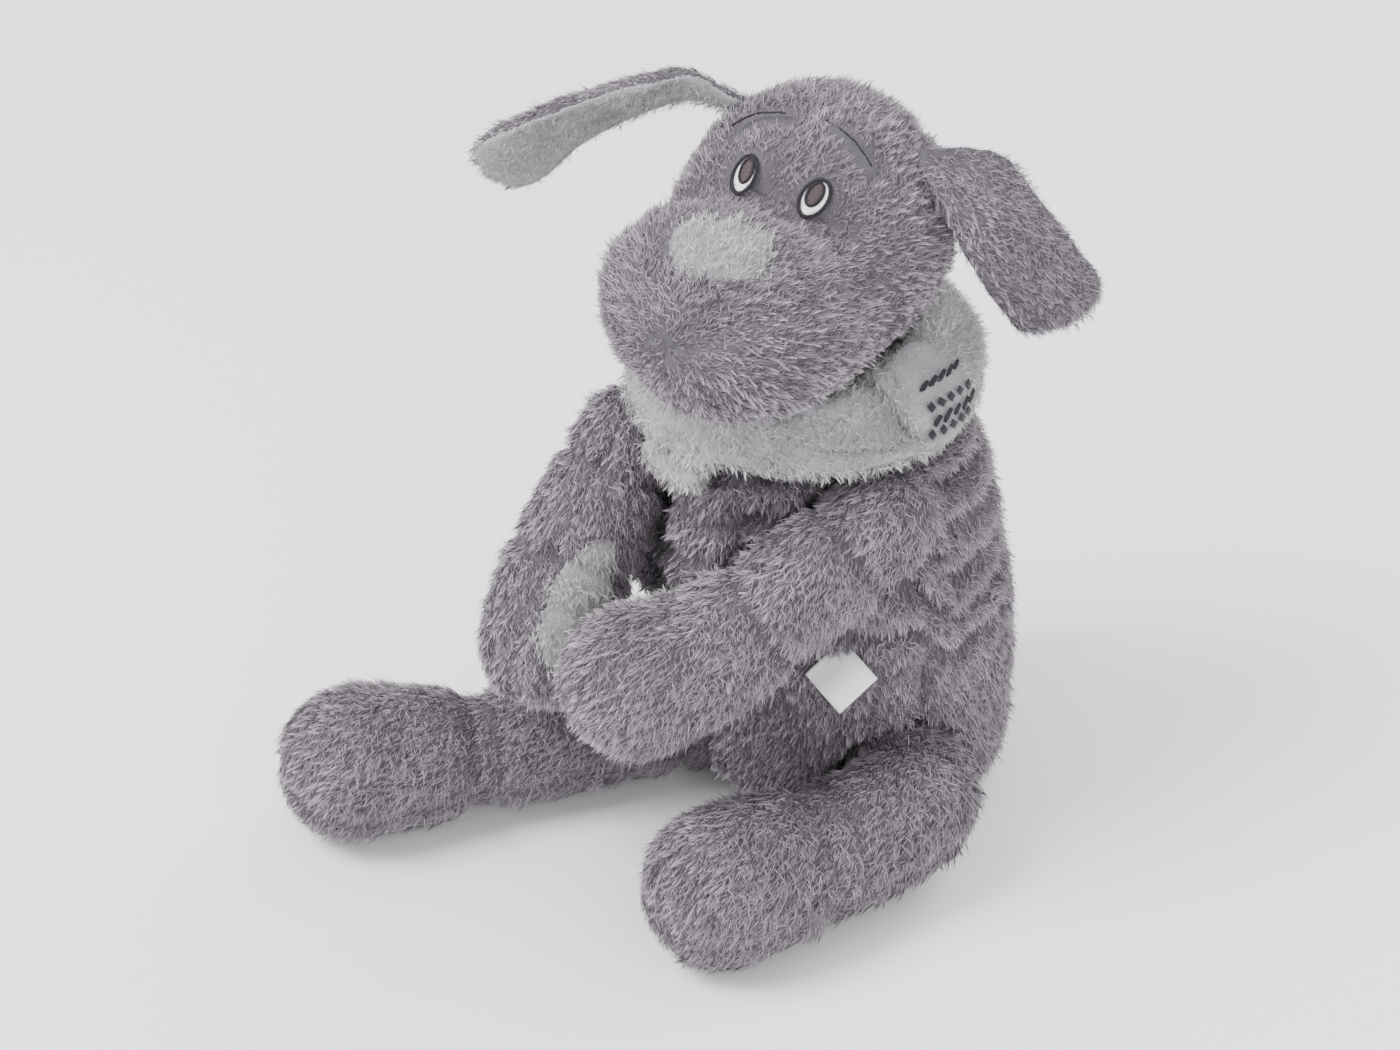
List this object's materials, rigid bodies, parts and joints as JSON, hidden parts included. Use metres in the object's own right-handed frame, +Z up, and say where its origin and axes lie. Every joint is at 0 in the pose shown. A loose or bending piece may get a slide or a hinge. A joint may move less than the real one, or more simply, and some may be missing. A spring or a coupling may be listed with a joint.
{
  "type": "plush dog toy",
  "caption": "Seated heather-grey plush dog with a big rounded muzzle, spread floppy ears, embroidered face, soft pale scarf and long stuffed arms and legs that move.",
  "frame": {"origin": "centre of the flat seat, on the floor the dog sits on", "axes": "+Z up, the dog faces -Y, its left side is +X; -Z leaves the seat"},
  "size_m": [0.2178, 0.2488, 0.2736],
  "materials": {
    "heather_plush": "long combed pile with tipped fibres",
    "pale_plush": "short soft pile",
    "polyester_filling": "loose fibre filling",
    "pellet_bag_cotton": "plain woven bag with plastic pellets",
    "dark_thread": "satin-stitch embroidery thread",
    "brown_thread": "satin-stitch embroidery thread",
    "white_thread": "satin-stitch embroidery thread",
    "satin_ribbon": "woven satin ribbon"
  },
  "bodies": {
    "torso": {"belly_panel": "heather_plush", "back_panel_left": "heather_plush", "back_panel_right": "heather_plush", "seat_panel": "heather_plush", "neck_closing_disc": "heather_plush", "torso_filling": "polyester_filling", "seat_pellet_bag": "pellet_bag_cotton", "back_closing_stitches": "dark_thread", "side_label": "satin_ribbon", "scarf_band": "pale_plush", "scarf_front_fold": "pale_plush", "scarf_back_roll": "pale_plush", "scarf_front_point": "pale_plush", "scarf_patch_stitches": "dark_thread"},
    "tail": {"tail_skin_upper": "heather_plush", "tail_skin_lower": "heather_plush", "tail_filling": "polyester_filling"},
    "neck": {"neck_skin": "heather_plush", "neck_filling": "polyester_filling"},
    "head": {"head_gusset": "heather_plush", "head_side_left": "heather_plush", "head_side_right": "heather_plush", "muzzle_top": "heather_plush", "muzzle_cheek_left": "heather_plush", "muzzle_cheek_right": "heather_plush", "chin_panel": "heather_plush", "head_filling": "polyester_filling", "nose_pad": "pale_plush", "eye_white_left": "white_thread", "eye_white_right": "white_thread", "pupil_left": "brown_thread", "pupil_right": "brown_thread", "eye_outline_left": "dark_thread", "eye_outline_right": "dark_thread", "brow_stitches": "dark_thread"},
    "ear_left": {"ear_outer_left": "heather_plush", "ear_lining_left": "pale_plush"},
    "ear_right": {"ear_outer_right": "heather_plush", "ear_lining_right": "pale_plush"},
    "arm_left": {"arm_outer_left": "heather_plush", "arm_inner_left": "heather_plush", "palm_pad_left": "pale_plush", "arm_filling_left": "polyester_filling", "hand_pellet_bag_left": "pellet_bag_cotton"},
    "arm_right": {"arm_outer_right": "heather_plush", "arm_inner_right": "heather_plush", "palm_pad_right": "pale_plush", "arm_filling_right": "polyester_filling", "hand_pellet_bag_right": "pellet_bag_cotton"},
    "leg_left": {"leg_upper_left": "heather_plush", "leg_under_left": "heather_plush", "foot_top_left": "heather_plush", "foot_sole_left": "heather_plush", "leg_filling_left": "polyester_filling", "foot_pellet_bag_left": "pellet_bag_cotton"},
    "leg_right": {"leg_upper_right": "heather_plush", "leg_under_right": "heather_plush", "foot_top_right": "heather_plush", "foot_sole_right": "heather_plush", "leg_filling_right": "polyester_filling"}
  },
  "joints": [
    {"name": "head_turn", "type": "hinge", "parent": "torso", "child": "neck", "pos_m": [-0.0035, -0.026, 0.19], "axis": [0, 0, 1], "range_deg": [-24, 24]},
    {"name": "head_nod", "type": "hinge", "parent": "neck", "child": "head", "pos_m": [-0.0035, -0.026, 0.19], "axis": [1, 0, 0], "range_deg": [-16, 1]},
    {"name": "ear_left_flop", "type": "hinge", "parent": "head", "child": "ear_left", "pos_m": [0.0403, -0.0189, 0.2545], "axis": [0, 1, 0], "range_deg": [-18, 10]},
    {"name": "ear_right_flop", "type": "hinge", "parent": "head", "child": "ear_right", "pos_m": [-0.0385, -0.0244, 0.26], "axis": [0, 1, 0], "range_deg": [-22, 18]},
    {"name": "arm_left_raise", "type": "hinge", "parent": "torso", "child": "arm_left", "pos_m": [0.043, -0.053, 0.143], "axis": [-1, 0, 0], "range_deg": [-4, 28]},
    {"name": "arm_right_raise", "type": "hinge", "parent": "torso", "child": "arm_right", "pos_m": [-0.052, -0.06, 0.143], "axis": [-1, 0, 0], "range_deg": [-4, 28]},
    {"name": "leg_left_splay", "type": "hinge", "parent": "torso", "child": "leg_left", "pos_m": [0.042, -0.03, 0.026], "axis": [0, 0, 1], "range_deg": [-4, 22]},
    {"name": "leg_right_splay", "type": "hinge", "parent": "torso", "child": "leg_right", "pos_m": [-0.042, -0.03, 0.026], "axis": [0, 0, -1], "range_deg": [-4, 22]},
    {"name": "tail_wag", "type": "hinge", "parent": "torso", "child": "tail", "pos_m": [0, 0.0525, 0.034], "axis": [0, 0, 1], "range_deg": [-18, 18]}
  ]
}
